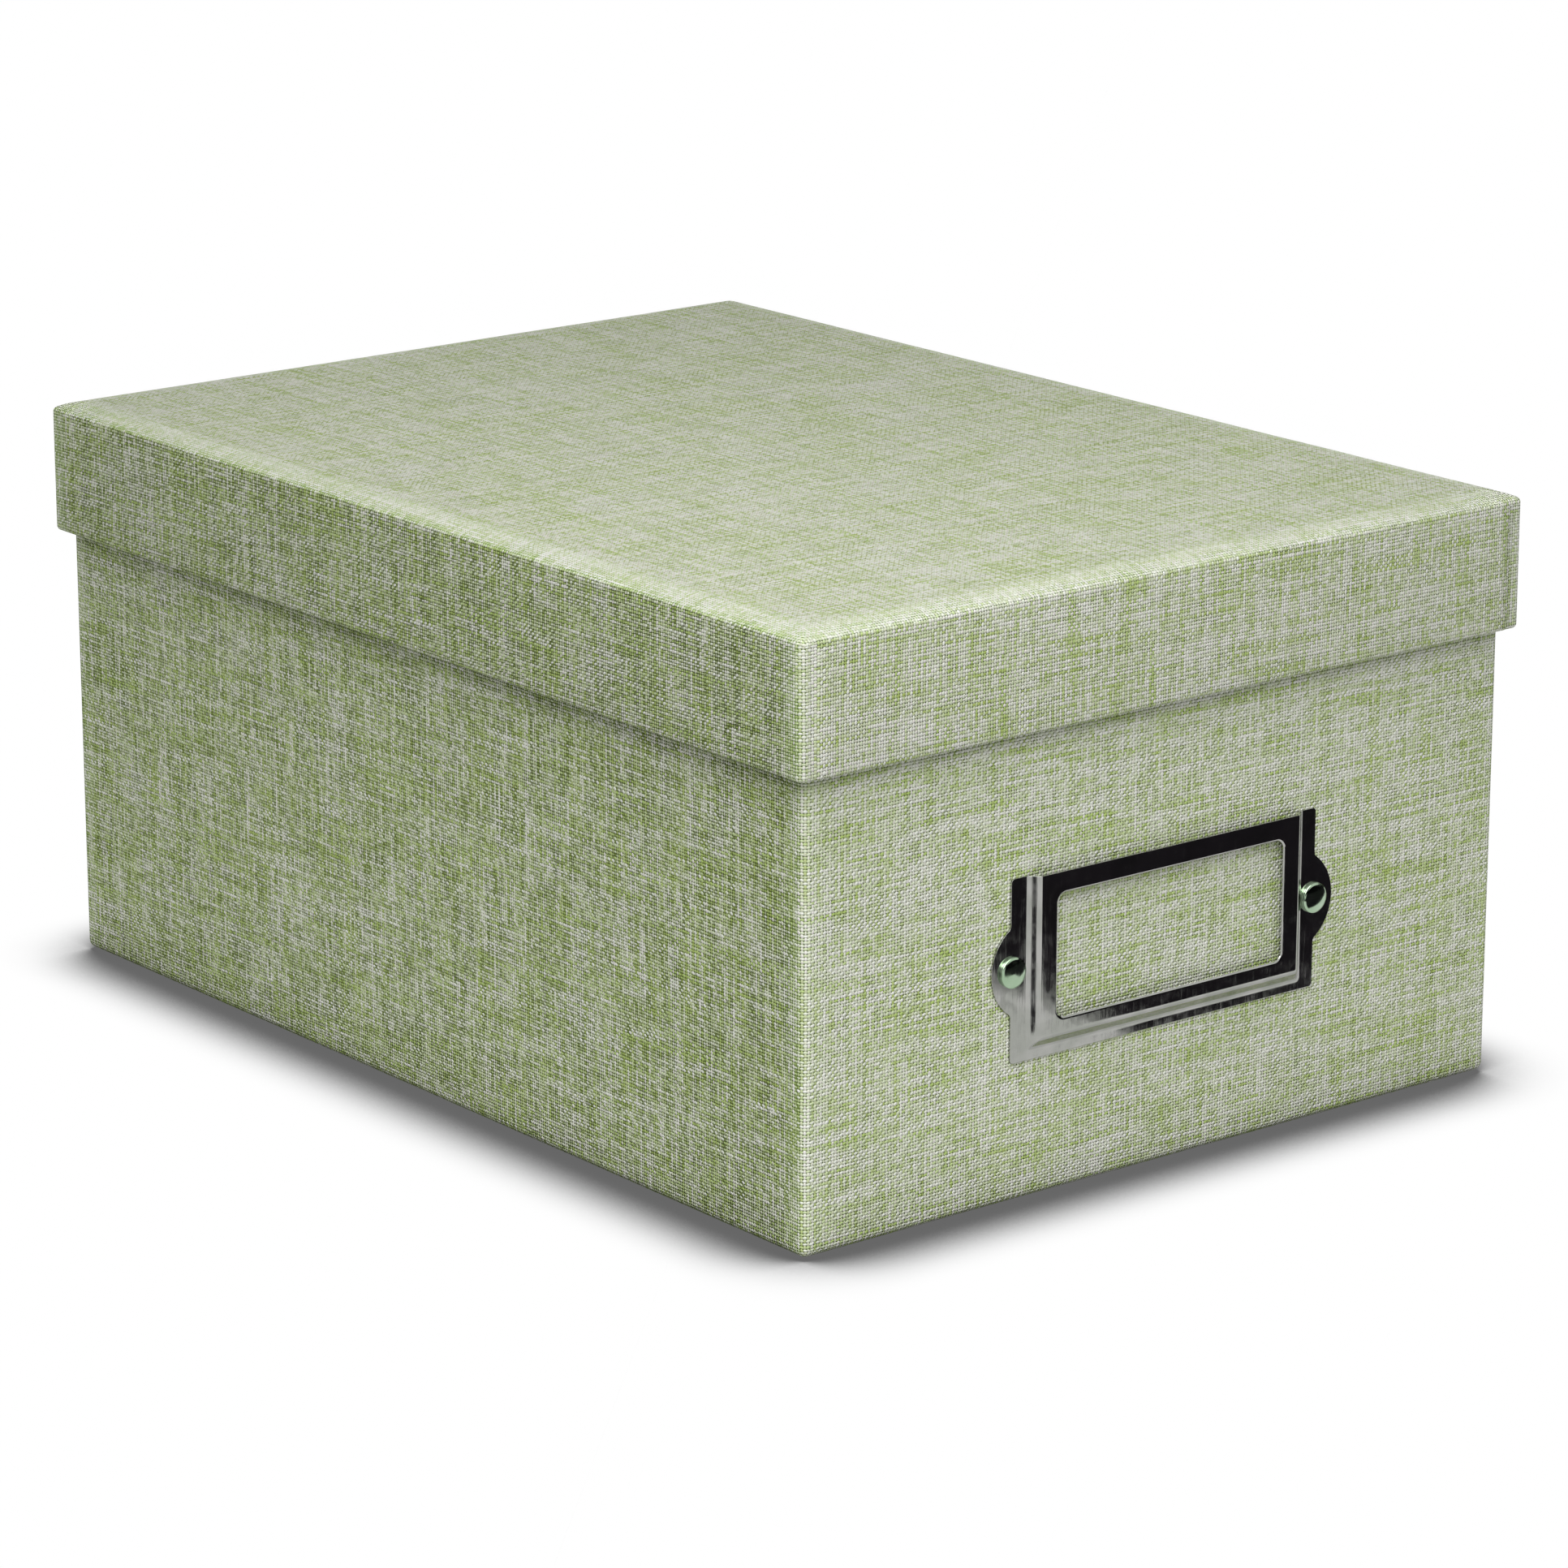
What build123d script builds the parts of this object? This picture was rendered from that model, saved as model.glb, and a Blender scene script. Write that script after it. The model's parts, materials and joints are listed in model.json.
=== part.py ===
# A cloth-covered storage box for prints: a board tray, a lift-off lid and a riveted
# metal label frame on one end. X runs across the box, Y along it and Z up, in
# millimetres. The origin is the middle of the underside; the label frame faces -Y.
import os
from math import atan, cos, hypot, sin, sqrt

from build123d import *

# Outside sizes
lid_width = 197.0
lid_length = 273.0
lid_depth = 30.0
base_height = 127.0

# Thickness of each sheet
cloth = 0.4
wall_board = 2.0
floor_board = 2.0
skirt_board = 1.8
top_board = 2.3
lining_paper = 0.3
underside_paper = 0.3
stay_paper = 0.2

# How far the lid's inside stands off the base's outside, all round
lid_clearance = 0.5

# Rounded edges, measured on the outside of the cloth
corner_radius = 2.0
foot_radius = 1.9
hem_radius = 1.0
crown_run = 7.0
crown_drop = 1.75
crown_edge_radius = 1.2

# Turned and lapped edges of the cloth and the paper
rim_turn_in = 20.0
underside_turn_in = 16.0
underside_inset = 5.0
lining_lap = 6.0

# Paper strips that tie the boards together at the corners
stay_leg = 14.0
lid_stay_top_gap = 2.0

# Label frame, pressed from one sheet
plate_width = 84.0
plate_height = 39.2
plate_sheet = 0.5
plate_corner = 0.8
raised_front = 2.6
ear_radius = 10.8
ear_reach = 5.1
window_corner = 2.0
side_border = 4.0
side_run = 3.2
side_flange = 3.6
top_border = 4.6
bottom_border = 2.9
bottom_run = 3.7
bottom_flange = 1.6

# Rivets through the frame's ears and the front wall
rivet_inset = 0.25
stem_radius = 1.2
stem_clearance = 0.05
cap_radius = 3.3
cap_rim = 0.85
cap_dome = 0.35
cap_edge_radius = 0.25
groove_height = 0.35
groove_width = 0.12
groove_depth = 0.15
inside_cap_radius = 3.0
inside_cap_rim = 0.4
inside_cap_dome = 0.4

# Sizes that follow from the ones above
skirt_inside_width = lid_width - 2 * (cloth + skirt_board)
skirt_inside_length = lid_length - 2 * (cloth + skirt_board)
lid_inside_width = skirt_inside_width - 2 * cloth
lid_inside_length = skirt_inside_length - 2 * cloth
base_width = lid_inside_width - 2 * lid_clearance
base_length = lid_inside_length - 2 * lid_clearance
wall_inside_width = base_width - 2 * (cloth + wall_board)
wall_inside_length = base_length - 2 * (cloth + wall_board)
top_board_bottom = base_height + lining_paper
box_height = top_board_bottom + top_board + cloth
lid_bottom = box_height - lid_depth
board_bottom = underside_paper + cloth
floor_top = board_bottom + floor_board
turn_in_bottom = base_height - rim_turn_in
crown_slope = 2 * atan(crown_drop / crown_run)
crown_radius = crown_run / sin(crown_slope)
front_wall = cloth + wall_board + lining_paper

# The window is what the frame's borders leave, and it sits above the plate's middle
rivet_offset = plate_width / 2 - rivet_inset
window_width = plate_width - 2 * (side_border + side_run + side_flange)
window_height = plate_height - top_border - bottom_border - bottom_run - bottom_flange
window_rise = (bottom_border + bottom_run + bottom_flange - top_border) / 2

# The label frame lies on the front wall, halfway up what the lid leaves bare
label_center = lid_bottom / 2
front_face = -base_length / 2
label_plane = Plane(origin=(0, front_face, label_center), x_dir=(1, 0, 0), z_dir=(0, -1, 0))
label_section_across = Plane(origin=(0, front_face, label_center), x_dir=(1, 0, 0), z_dir=(0, 0, -1))
label_section_down = Plane(origin=(0, front_face, label_center), x_dir=(0, 0, -1), z_dir=(-1, 0, 0))


def finish(piece, name):
    """Label a finished piece and write its STEP file."""
    piece.part.label = name
    export_step(piece.part, f"parts/{name}.step")
    print(f"{name}: {piece.part.volume:.1f} mm3")


def slab(width, length, low, high, mode=Mode.ADD):
    """Add, or cut, a square-cornered block between two heights."""
    with Locations((0, 0, low)):
        Box(width, length, high - low, align=(Align.CENTER, Align.CENTER, Align.MIN), mode=mode)


def dome_radius(half_width, rise):
    """Radius of the arc that rises by so much over a cap's half width."""
    return (half_width**2 + rise**2) / (2 * rise)


def tray_envelope(inset):
    """The base's outside, sunk by the inset on every side."""
    low = underside_paper + inset
    with BuildPart() as envelope:
        with BuildSketch(Plane.XY.offset(low)):
            RectangleRounded(base_width - 2 * inset, base_length - 2 * inset, corner_radius - inset)
        extrude(amount=base_height - inset - low)
        fillet(faces().sort_by(Axis.Z)[0].edges(), foot_radius - inset)
    return envelope


def lid_envelope(inset):
    """The lid's outside, sunk by the inset, with a top that falls away to its sides."""
    low = lid_bottom + inset
    top = box_height - inset
    radius = crown_radius - inset
    run = crown_run - inset
    side_top = top - radius + sqrt(radius**2 - run**2)
    sections = (
        (Plane.XZ, lid_width / 2 - inset, lid_length / 2 - inset, Mode.ADD),
        (Plane.YZ, lid_length / 2 - inset, lid_width / 2 - inset, Mode.INTERSECT),
    )
    with BuildPart() as envelope:
        for plane, half, reach, mode in sections:
            with BuildSketch(plane):
                with BuildLine():
                    Polyline((0, low), (half, low), (half, side_top))
                    RadiusArc((half, side_top), (half - run, top), -radius)
                    Line((half - run, top), (0, top))
                    mirror(about=Plane.YZ)
                make_face()
                side_tops = vertices().group_by(Axis.Y)[1]
                fillet(side_tops, crown_edge_radius - inset)
            extrude(amount=reach, both=True, mode=mode)
        with BuildSketch(Plane.XY.offset(low)):
            RectangleRounded(lid_width - 2 * inset, lid_length - 2 * inset, corner_radius - inset)
        extrude(amount=lid_depth, mode=Mode.INTERSECT)
        fillet(faces().sort_by(Axis.Z)[0].edges(), hem_radius - inset)
    return envelope


def corner_stays(width, length, low, high, prefix):
    """Angle strips pressed into the four upright corners of a tray of boards."""
    corners = {"front_left": (-1, -1), "front_right": (1, -1), "back_left": (-1, 1), "back_right": (1, 1)}
    stays = {}
    for place, (side_x, side_y) in corners.items():
        with BuildPart() as stay:
            with BuildSketch(Plane.XY.offset(low)):
                RectangleRounded(width, length, corner_radius - cloth)
                RectangleRounded(
                    width - 2 * stay_paper,
                    length - 2 * stay_paper,
                    corner_radius - cloth - stay_paper,
                    mode=Mode.SUBTRACT,
                )
                with Locations((side_x * (width - stay_leg) / 2, side_y * (length - stay_leg) / 2)):
                    Rectangle(stay_leg, stay_leg, mode=Mode.INTERSECT)
            extrude(amount=high - low)
        stays[f"{prefix}_stay_{place}"] = stay
    return stays


def board(envelope, stays, center, size, low, high):
    """A board cut from the envelope, with shallow seats for the stays on its ends."""
    with BuildPart() as panel:
        add(envelope)
        with BuildSketch(Plane.XY.offset(low)):
            with Locations(center):
                Rectangle(*size)
        extrude(amount=high - low, mode=Mode.INTERSECT)
        for stay in stays.values():
            add(stay, mode=Mode.SUBTRACT)
    return panel


def four_walls(envelope, stays, width, length, thickness, low, high):
    """Front and back boards across the full width, side boards between them."""
    across = (width - thickness) / 2
    along = (length - thickness) / 2
    end_size = (width, thickness)
    side_size = (thickness, length - 2 * thickness)
    return {
        "front": board(envelope, stays, (0, -along), end_size, low, high),
        "back": board(envelope, stays, (0, along), end_size, low, high),
        "left": board(envelope, stays, (-across, 0), side_size, low, high),
        "right": board(envelope, stays, (across, 0), side_size, low, high),
    }


def raised_form(inset, top_edge):
    """The frame's raised part, sunk by the inset; its shoulders curve out, then in."""
    rise = raised_front - plate_sheet
    top = raised_front - inset
    side_flat = window_width / 2 + side_border
    bottom_flat = window_height / 2 + bottom_border - window_rise
    sections = (
        (label_section_across, side_flat, side_run, plate_height, Mode.ADD),
        (label_section_down, bottom_flat, bottom_run, plate_width, Mode.INTERSECT),
    )
    with BuildPart() as form:
        for plane, flat, run, reach, mode in sections:
            radius = hypot(run, rise) ** 2 / (4 * rise)
            turn = 2 * atan(rise / run)
            outer = radius - inset
            middle = (flat + outer * sin(turn), raised_front - radius + outer * cos(turn))
            foot = (flat + run, plate_sheet - inset)
            with BuildSketch(plane):
                with BuildLine():
                    Line((0, top), (flat, top))
                    RadiusArc((flat, top), middle, outer)
                    RadiusArc(middle, foot, -radius - inset)
                    Polyline(foot, (flat + run, -inset), (0, -inset), (0, top))
                make_face()
                if plane is label_section_across:
                    mirror(about=Plane.YZ)
                else:
                    with Locations((0, -inset)):
                        Rectangle(top_edge, raised_front, align=(Align.MAX, Align.MIN))
            extrude(amount=reach, both=True, mode=mode)
    return form


os.makedirs("parts", exist_ok=True)

# Holes for the rivet stems, through the label frame and the front wall
with BuildPart() as rivet_holes:
    with BuildSketch(label_plane.offset(-front_wall)):
        with Locations((-rivet_offset, 0), (rivet_offset, 0)):
            Circle(stem_radius + stem_clearance)
    extrude(amount=front_wall + plate_sheet)

# Base: the boards, with the strips that tie their corners
base_core = tray_envelope(cloth)
base_stays = corner_stays(
    base_width - 2 * cloth,
    base_length - 2 * cloth,
    underside_paper + foot_radius,
    base_height - cloth,
    "base",
)
for stay_name, base_stay in base_stays.items():
    finish(base_stay, stay_name)

base_walls = four_walls(
    base_core,
    base_stays,
    base_width - 2 * cloth,
    base_length - 2 * cloth,
    wall_board,
    board_bottom,
    base_height,
)
for side in ("back", "left", "right"):
    finish(base_walls[side], f"base_{side}_board")

with BuildPart() as base_front_board:
    add(base_walls["front"])
    add(rivet_holes, mode=Mode.SUBTRACT)
finish(base_front_board, "base_front_board")

with BuildPart() as base_floor_board:
    with BuildSketch(Plane.XY.offset(board_bottom)):
        Rectangle(wall_inside_width, wall_inside_length)
    extrude(amount=floor_board)
finish(base_floor_board, "base_floor_board")

# Base: cloth over the walls, turned under the floor and over the rim
with BuildPart() as base_cover_cloth:
    add(tray_envelope(0))
    add(base_core, mode=Mode.SUBTRACT)
    slab(wall_inside_width, wall_inside_length, turn_in_bottom, base_height)
    slab(
        wall_inside_width - 2 * cloth,
        wall_inside_length - 2 * cloth,
        turn_in_bottom,
        base_height,
        Mode.SUBTRACT,
    )
    slab(
        base_width - 2 * underside_turn_in,
        base_length - 2 * underside_turn_in,
        underside_paper,
        board_bottom,
        Mode.SUBTRACT,
    )
    add(rivet_holes, mode=Mode.SUBTRACT)
finish(base_cover_cloth, "base_cover_cloth")

# Base: card on the underside, with its edge thinned to lap the turned cloth
with BuildPart() as base_underside_card:
    with BuildSketch():
        Rectangle(base_width - 2 * underside_inset, base_length - 2 * underside_inset)
    extrude(amount=underside_paper)
    with BuildSketch(Plane.XY.offset(underside_paper)):
        Rectangle(base_width - 2 * underside_turn_in, base_length - 2 * underside_turn_in)
    extrude(amount=cloth)
finish(base_underside_card, "base_underside_card")

# Base: paper lining, which laps the turned-in cloth with a small jog
with BuildPart() as base_wall_lining:
    lapped_width = wall_inside_width - 2 * cloth
    lapped_length = wall_inside_length - 2 * cloth
    jog_bottom = turn_in_bottom - lining_paper
    lap_top = turn_in_bottom + lining_lap
    slab(wall_inside_width, wall_inside_length, floor_top, turn_in_bottom)
    slab(lapped_width, lapped_length, turn_in_bottom, lap_top)
    slab(
        wall_inside_width - 2 * lining_paper,
        wall_inside_length - 2 * lining_paper,
        floor_top,
        jog_bottom,
        Mode.SUBTRACT,
    )
    slab(
        lapped_width - 2 * lining_paper,
        lapped_length - 2 * lining_paper,
        jog_bottom,
        lap_top,
        Mode.SUBTRACT,
    )
    add(rivet_holes, mode=Mode.SUBTRACT)
finish(base_wall_lining, "base_wall_lining")

with BuildPart() as base_floor_lining:
    with BuildSketch(Plane.XY.offset(floor_top)):
        Rectangle(wall_inside_width - 2 * lining_paper, wall_inside_length - 2 * lining_paper)
    extrude(amount=lining_paper)
finish(base_floor_lining, "base_floor_lining")

# Lid: the boards, with their corner strips
lid_core = lid_envelope(cloth)
lid_stays = corner_stays(
    lid_width - 2 * cloth,
    lid_length - 2 * cloth,
    lid_bottom + hem_radius,
    box_height - crown_drop - crown_edge_radius - lid_stay_top_gap,
    "lid",
)
for stay_name, lid_stay in lid_stays.items():
    finish(lid_stay, stay_name)

lid_walls = four_walls(
    lid_core, lid_stays, lid_width - 2 * cloth, lid_length - 2 * cloth, skirt_board, lid_bottom, box_height
)
for side, lid_wall in lid_walls.items():
    finish(lid_wall, f"lid_{side}_board")

lid_top_board = board(
    lid_core, lid_stays, (0, 0), (skirt_inside_width, skirt_inside_length), top_board_bottom, box_height
)
finish(lid_top_board, "lid_top_board")

# Lid: cloth over the top and sides, folded under the edge and up the inside
with BuildPart() as lid_cover_cloth:
    add(lid_envelope(0))
    add(lid_core, mode=Mode.SUBTRACT)
    slab(skirt_inside_width, skirt_inside_length, lid_bottom, top_board_bottom)
    slab(lid_inside_width, lid_inside_length, lid_bottom, top_board_bottom, Mode.SUBTRACT)
finish(lid_cover_cloth, "lid_cover_cloth")

with BuildPart() as lid_lining:
    with BuildSketch(Plane.XY.offset(base_height)):
        Rectangle(lid_inside_width, lid_inside_length)
    extrude(amount=lining_paper)
finish(lid_lining, "lid_lining")

# Label frame: a flat plate with two ears, pressed up around the window
plate_outer_form = raised_form(0, plate_height / 2)
plate_inner_form = raised_form(plate_sheet, plate_height)
with BuildPart() as label_frame:
    with BuildSketch(label_plane):
        RectangleRounded(plate_width, plate_height, plate_corner)
        ear_center = plate_width / 2 + ear_reach - ear_radius
        with Locations((-ear_center, 0), (ear_center, 0)):
            Circle(ear_radius)
    extrude(amount=plate_sheet)
    add(plate_outer_form)
    add(plate_inner_form, mode=Mode.SUBTRACT)
    with BuildSketch(label_plane):
        with Locations((0, window_rise)):
            RectangleRounded(window_width, window_height, window_corner)
    extrude(amount=raised_front, mode=Mode.SUBTRACT)
    add(rivet_holes, mode=Mode.SUBTRACT)
finish(label_frame, "label_frame")

# Rivets: a grooved cap and stem from outside, and a plain cap inside the box
for side_name, side_x in (("left", -rivet_offset), ("right", rivet_offset)):
    rivet_section = Plane(origin=(side_x, front_face, label_center), x_dir=(1, 0, 0), z_dir=(0, 0, -1))
    rivet_axis = Axis((side_x, front_face, label_center), (0, -1, 0))
    rim_top = plate_sheet + cap_rim
    groove_bottom = plate_sheet + groove_height

    with BuildPart() as label_rivet:
        with BuildSketch(rivet_section):
            with BuildLine():
                rim = Polyline(
                    (0, -front_wall),
                    (stem_radius, -front_wall),
                    (stem_radius, plate_sheet),
                    (cap_radius, plate_sheet),
                    (cap_radius, rim_top),
                )
                dome = RadiusArc(rim @ 1, (0, rim_top + cap_dome), -dome_radius(cap_radius, cap_dome))
                Line(dome @ 1, (0, -front_wall))
            make_face()
            cap_corners = [v for v in vertices() if v.X > cap_radius / 2]
            fillet(cap_corners, cap_edge_radius)
            with Locations((cap_radius, groove_bottom)):
                Rectangle(2 * groove_depth, groove_width, mode=Mode.SUBTRACT)
        revolve(axis=rivet_axis)
    finish(label_rivet, f"label_rivet_{side_name}")

    with BuildPart() as inside_cap:
        with BuildSketch(rivet_section):
            with BuildLine():
                disc = Polyline(
                    (0, -front_wall),
                    (inside_cap_radius, -front_wall),
                    (inside_cap_radius, -front_wall - inside_cap_rim),
                )
                dome = RadiusArc(
                    disc @ 1,
                    (0, -front_wall - inside_cap_rim - inside_cap_dome),
                    dome_radius(inside_cap_radius, inside_cap_dome),
                )
                Line(dome @ 1, (0, -front_wall))
            make_face()
        revolve(axis=rivet_axis)
    finish(inside_cap, f"inside_rivet_cap_{side_name}")
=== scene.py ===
# Dresses the photo storage box: woven cloth over board, a pressed label frame and its rivets.
import json
import math
import bmesh
import bpy
import numpy as np
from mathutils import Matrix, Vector, noise


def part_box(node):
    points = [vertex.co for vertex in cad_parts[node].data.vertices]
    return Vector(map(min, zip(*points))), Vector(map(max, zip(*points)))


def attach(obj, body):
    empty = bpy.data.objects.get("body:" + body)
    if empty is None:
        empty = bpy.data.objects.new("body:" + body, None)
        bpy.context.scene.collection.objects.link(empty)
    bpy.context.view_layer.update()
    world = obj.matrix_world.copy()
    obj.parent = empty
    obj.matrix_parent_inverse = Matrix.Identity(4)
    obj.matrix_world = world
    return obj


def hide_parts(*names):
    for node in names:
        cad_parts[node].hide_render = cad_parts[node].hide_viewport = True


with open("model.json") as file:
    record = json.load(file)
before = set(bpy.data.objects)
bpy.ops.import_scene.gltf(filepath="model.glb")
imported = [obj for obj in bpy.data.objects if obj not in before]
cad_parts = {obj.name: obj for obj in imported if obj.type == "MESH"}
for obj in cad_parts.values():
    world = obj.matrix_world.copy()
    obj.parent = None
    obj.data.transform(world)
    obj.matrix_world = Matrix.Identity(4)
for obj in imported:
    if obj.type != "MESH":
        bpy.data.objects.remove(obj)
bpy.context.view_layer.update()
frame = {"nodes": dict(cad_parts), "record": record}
nodes = frame["nodes"]
scene = bpy.context.scene
millimetre = 0.001


def nodeBox(node):
    # a CAD node's lowest and highest corners, in millimetres
    return [[round(part / millimetre, 3) for part in corner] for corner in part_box(node)]


def ramp(value, low, high):
    # how far a value has come from low to high, from 0 to 1
    return min(1.0, max(0.0, (value - low) / (high - low)))


class Wire:
    # one output of a shader node; sums on it add Math nodes
    def __init__(self, finish, socket):
        self.finish = finish
        self.socket = socket

    def maths(self, operation, *others):
        return self.finish.node("Math", {"operation": operation}, dict(enumerate((self,) + others)))[0]

    def __add__(self, other):
        return self.maths("ADD", other)

    def __radd__(self, other):
        return self.maths("ADD", other)

    def __sub__(self, other):
        return self.maths("SUBTRACT", other)

    def __rsub__(self, other):
        return self.finish.node("Math", {"operation": "SUBTRACT"}, {0: other, 1: self})[0]

    def __mul__(self, other):
        return self.maths("MULTIPLY", other)

    def __rmul__(self, other):
        return self.maths("MULTIPLY", other)

    def __truediv__(self, other):
        return self.maths("DIVIDE", other)

    def __rtruediv__(self, other):
        return self.finish.node("Math", {"operation": "DIVIDE"}, {0: other, 1: self})[0]

    def __neg__(self):
        return self.maths("MULTIPLY", -1.0)

    def floor(self):
        return self.maths("FLOOR")

    def clip(self):
        return self.maths("MAXIMUM", 0.0).maths("MINIMUM", 1.0)

    def between(self, low, high, toLow=0.0, toHigh=1.0):
        # a smooth step from toLow to toHigh while this goes from low to high
        sockets = {"Value": self, "From Min": low, "From Max": high, "To Min": toLow, "To Max": toHigh}
        return self.finish.node("MapRange", {"interpolation_type": "SMOOTHSTEP"}, sockets)[0]


class Finish:
    # the nodes of one material, or of the world, while they are being built
    def __init__(self, holder):
        self.holder = holder
        self.holder.use_nodes = True
        self.tree = self.holder.node_tree
        self.tree.nodes.clear()

    def node(self, kind, settings, sockets):
        made = self.tree.nodes.new("ShaderNode" + kind)
        for name, value in settings.items():
            setattr(made, name, value)
        for name, value in sockets.items():
            if isinstance(value, Wire):
                self.tree.links.new(value.socket, made.inputs[name])
            else:
                made.inputs[name].default_value = value
        return [Wire(self, output) for output in made.outputs]

    def place(self):
        return self.node("TexCoord", {}, {})[3]  # Object coordinates

    def vector(self, x, y, z):
        return self.node("CombineXYZ", {}, {0: x, 1: y, 2: z})[0]

    def noise(self, vector, scale, detail=2.0, rough=0.5):
        sockets = {"Vector": vector, "Scale": scale, "Detail": detail, "Roughness": rough}
        return self.node("TexNoise", {}, sockets)[0]

    def mix(self, factor, first, second, blend="MIX"):
        # colours given as numbers get their alpha here
        ends = [end if isinstance(end, Wire) else (*end, 1.0) for end in (first, second)]
        settings = {"data_type": "RGBA", "blend_type": blend}
        return self.node("Mix", settings, {0: factor, 6: ends[0], 7: ends[1]})[2]

    def stretch(self, vector, scale, turn=(0.0, 0.0, 0.0)):
        return self.node("Mapping", {}, {"Vector": vector, "Rotation": turn, "Scale": scale})[0]

    def bump(self, height, strength, distance, normal=None):
        sockets = {"Height": height, "Strength": strength, "Distance": distance}
        if normal is not None:
            sockets["Normal"] = normal
        return self.node("Bump", {}, sockets)[0]

    def surface(self, sockets):
        shader = self.node("BsdfPrincipled", {}, sockets)[0]
        self.node("OutputMaterial", {}, {"Surface": shader})
        return self.holder


print("stage: cloth finish")
weaveLook = {
    "warpPitch": 0.735 * millimetre,  # across the upright threads
    "weftPitch": 0.67 * millimetre,  # across the level threads, which stand proud as pearls
    # a pearl's half length and half width in pitches, and its height: in even cloth, and where
    # the weft stands proud
    "weft": ((0.70, 0.74), (0.50, 0.58), (0.31 * millimetre, 0.32 * millimetre)),
    "warp": ((0.70, 0.74), (0.50, 0.43), (0.31 * millimetre, 0.22 * millimetre)),
    "pearlRim": 0.03,  # keeps a pearl's back from standing upright at its rim
    "crossing": 0.012,  # mm of height over which one thread gives way to the other
    "chance": 0.30,  # how far single pearls differ in size
    "sideProud": 0.05,  # how far the weft stands proud on the side walls; on the base's ends it is 1
    "wander": 0.9,  # pitches that a thread strays, in waves this long and this wide
    "wanderRun": 0.05,
    "wanderWidth": 0.008,
    "swell": 0.018,  # length of a thread's thicker and thinner stretches
    "swellStep": 2.37,  # moves on through the noise from thread to thread
    "swellSpan": (0.28, 0.72),  # the noise seldom leaves this
    "weftSpread": 0.16,  # how much thicker and thinner
    "warpSpread": 0.26,
    "weftPale": (0.585, 0.605, 0.54),
    "weftGreen": (0.305, 0.413, 0.118),
    "warpPale": (0.56, 0.545, 0.505),
    "warpGreen": (0.280, 0.352, 0.096),
    "paleFrom": -0.30,  # shades at which a thread is quite green and quite pale
    "paleTo": 0.22,
    "sidePaintedShade": 0.06,  # both are higher by this on the side walls, as painted shade that makes their threads greener
    "slub": 0.022,  # length of a thread's paler and greener stretches
    "slubStep": 1.71,
    "slubShare": 1.3,
    "patchRun": 0.045,  # patches of shade that run over several threads
    "patchWidth": 0.0013,
    "patchShare": 0.46,
    "knotShare": 0.20,  # how far single pearls differ in shade
    "gapColourAndShade": (0.10, 0.14, 0.015),  # in the holes between threads: their own green, darkened by painted shade
    "sidePaintedGapShadow": (0.056, 0.084, 0.003),  # and on the side walls, darker still for painted shadow
    "wornAndHighlightGap": (0.22, 0.34, 0.07),  # and where the cloth is worn and painted with a highlight
    # paler colour for wear and painted highlight on the edges and the crown
    "wornAndHighlightColour": (0.80, 0.82, 0.75),
    "wornAndHighlightShare": 0.22,
    # heights in mm below which a hole is painted dark with shade, and above which there is none: on the
    # lid's top, the lid's ends, the base's ends, and the sides of both
    "gapLow": (0.02, 0.01, 0.03, 0.11),
    "gapHigh": (0.20, 0.16, 0.18, 0.28),
    # values of the pearls' lean that tell any wall, a side wall and an end from the lid's top
    "wallLean": (0.0, 0.12),
    "sideLean": (0.0, 0.3),
    "endLean": (0.1, 0.3),
    "fuzz": 0.00032,  # single fibres catch the light
    "fuzzSpan": (0.25, 0.75),
    "fuzzShare": 0.5,
    "fuzzColour": (0.9, 0.9, 0.88),
    "rough": 0.84,
    "roughChance": 0.12,
}
# a place in the noise for each thing that varies, so that none copies another
weaveSeeds = {
    "warpWander": 3.0,
    "weftWander": 15.0,
    "warpShade": 4.0,
    "weftShade": 77.0,
    "patch": 31.0,  # further on than the thread's own shade
    "warpSwell": 90.0,
    "weftSwell": 40.0,
    "fuzz": 60.0,
}


def threadShade(finish, look, index, along, across, seed):
    # how pale a thread is at each place: stretches of its own, and patches over several threads
    slubPlace = finish.vector(index * look["slubStep"] + seed, along / look["slub"], seed)
    slub = finish.noise(slubPlace, 1.0, 2.0)
    patchSeed = seed + weaveSeeds["patch"]
    patchPlace = finish.vector(across / look["patchWidth"], along / look["patchRun"], patchSeed)
    patch = finish.noise(patchPlace, 1.0, 1.0)
    return (slub - 0.5) * look["slubShare"] + (patch - 0.5) * look["patchShare"]


def threadSwell(finish, look, index, along, seed, spread):
    # how thick hand-spun yarn is at each place, as a share of its usual thickness
    place = finish.vector(index * look["swellStep"] + seed, along / look["swell"], seed)
    thick = finish.noise(place, 1.0, 2.0)
    return thick.between(*look["swellSpan"], 1.0 - spread, 1.0 + spread)


def threadPearls(finish, look, shape, place, side, index, offset, proud, pitches, lean, swell):
    # the round backs that one set of threads shows, at every second crossing. Gives their height
    # in mm, their slopes along and across the thread, and a chance that each has to itself
    across = side * 0.5
    halfLength, halfWidth, rise = [proud * (last - first) + first for first, last in shape]
    turn = (place - 0.5 + index + offset) * 0.5
    number = (turn + 0.5).floor()
    along = (turn - number) * 2.0 + across * lean
    chance = finish.node("TexWhiteNoise", {}, {"Vector": finish.vector(number, index, offset)})[0] - 0.5
    swell = swell * (chance * look["chance"] + 1.0)
    halfWidth = halfWidth * swell
    rise = rise * swell
    longPart = along / halfLength
    widePart = across / halfWidth
    back = 1.0 - longPart * longPart - widePart * widePart
    back = back.maths("MAXIMUM", look["pearlRim"]).maths("SQRT")
    alongSlope = longPart / back * (-rise / halfLength / pitches[0])
    acrossSlope = (widePart / halfWidth + longPart * lean / halfLength) / back * (-rise / pitches[1])
    return back * rise / millimetre, alongSlope, acrossSlope, chance


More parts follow.
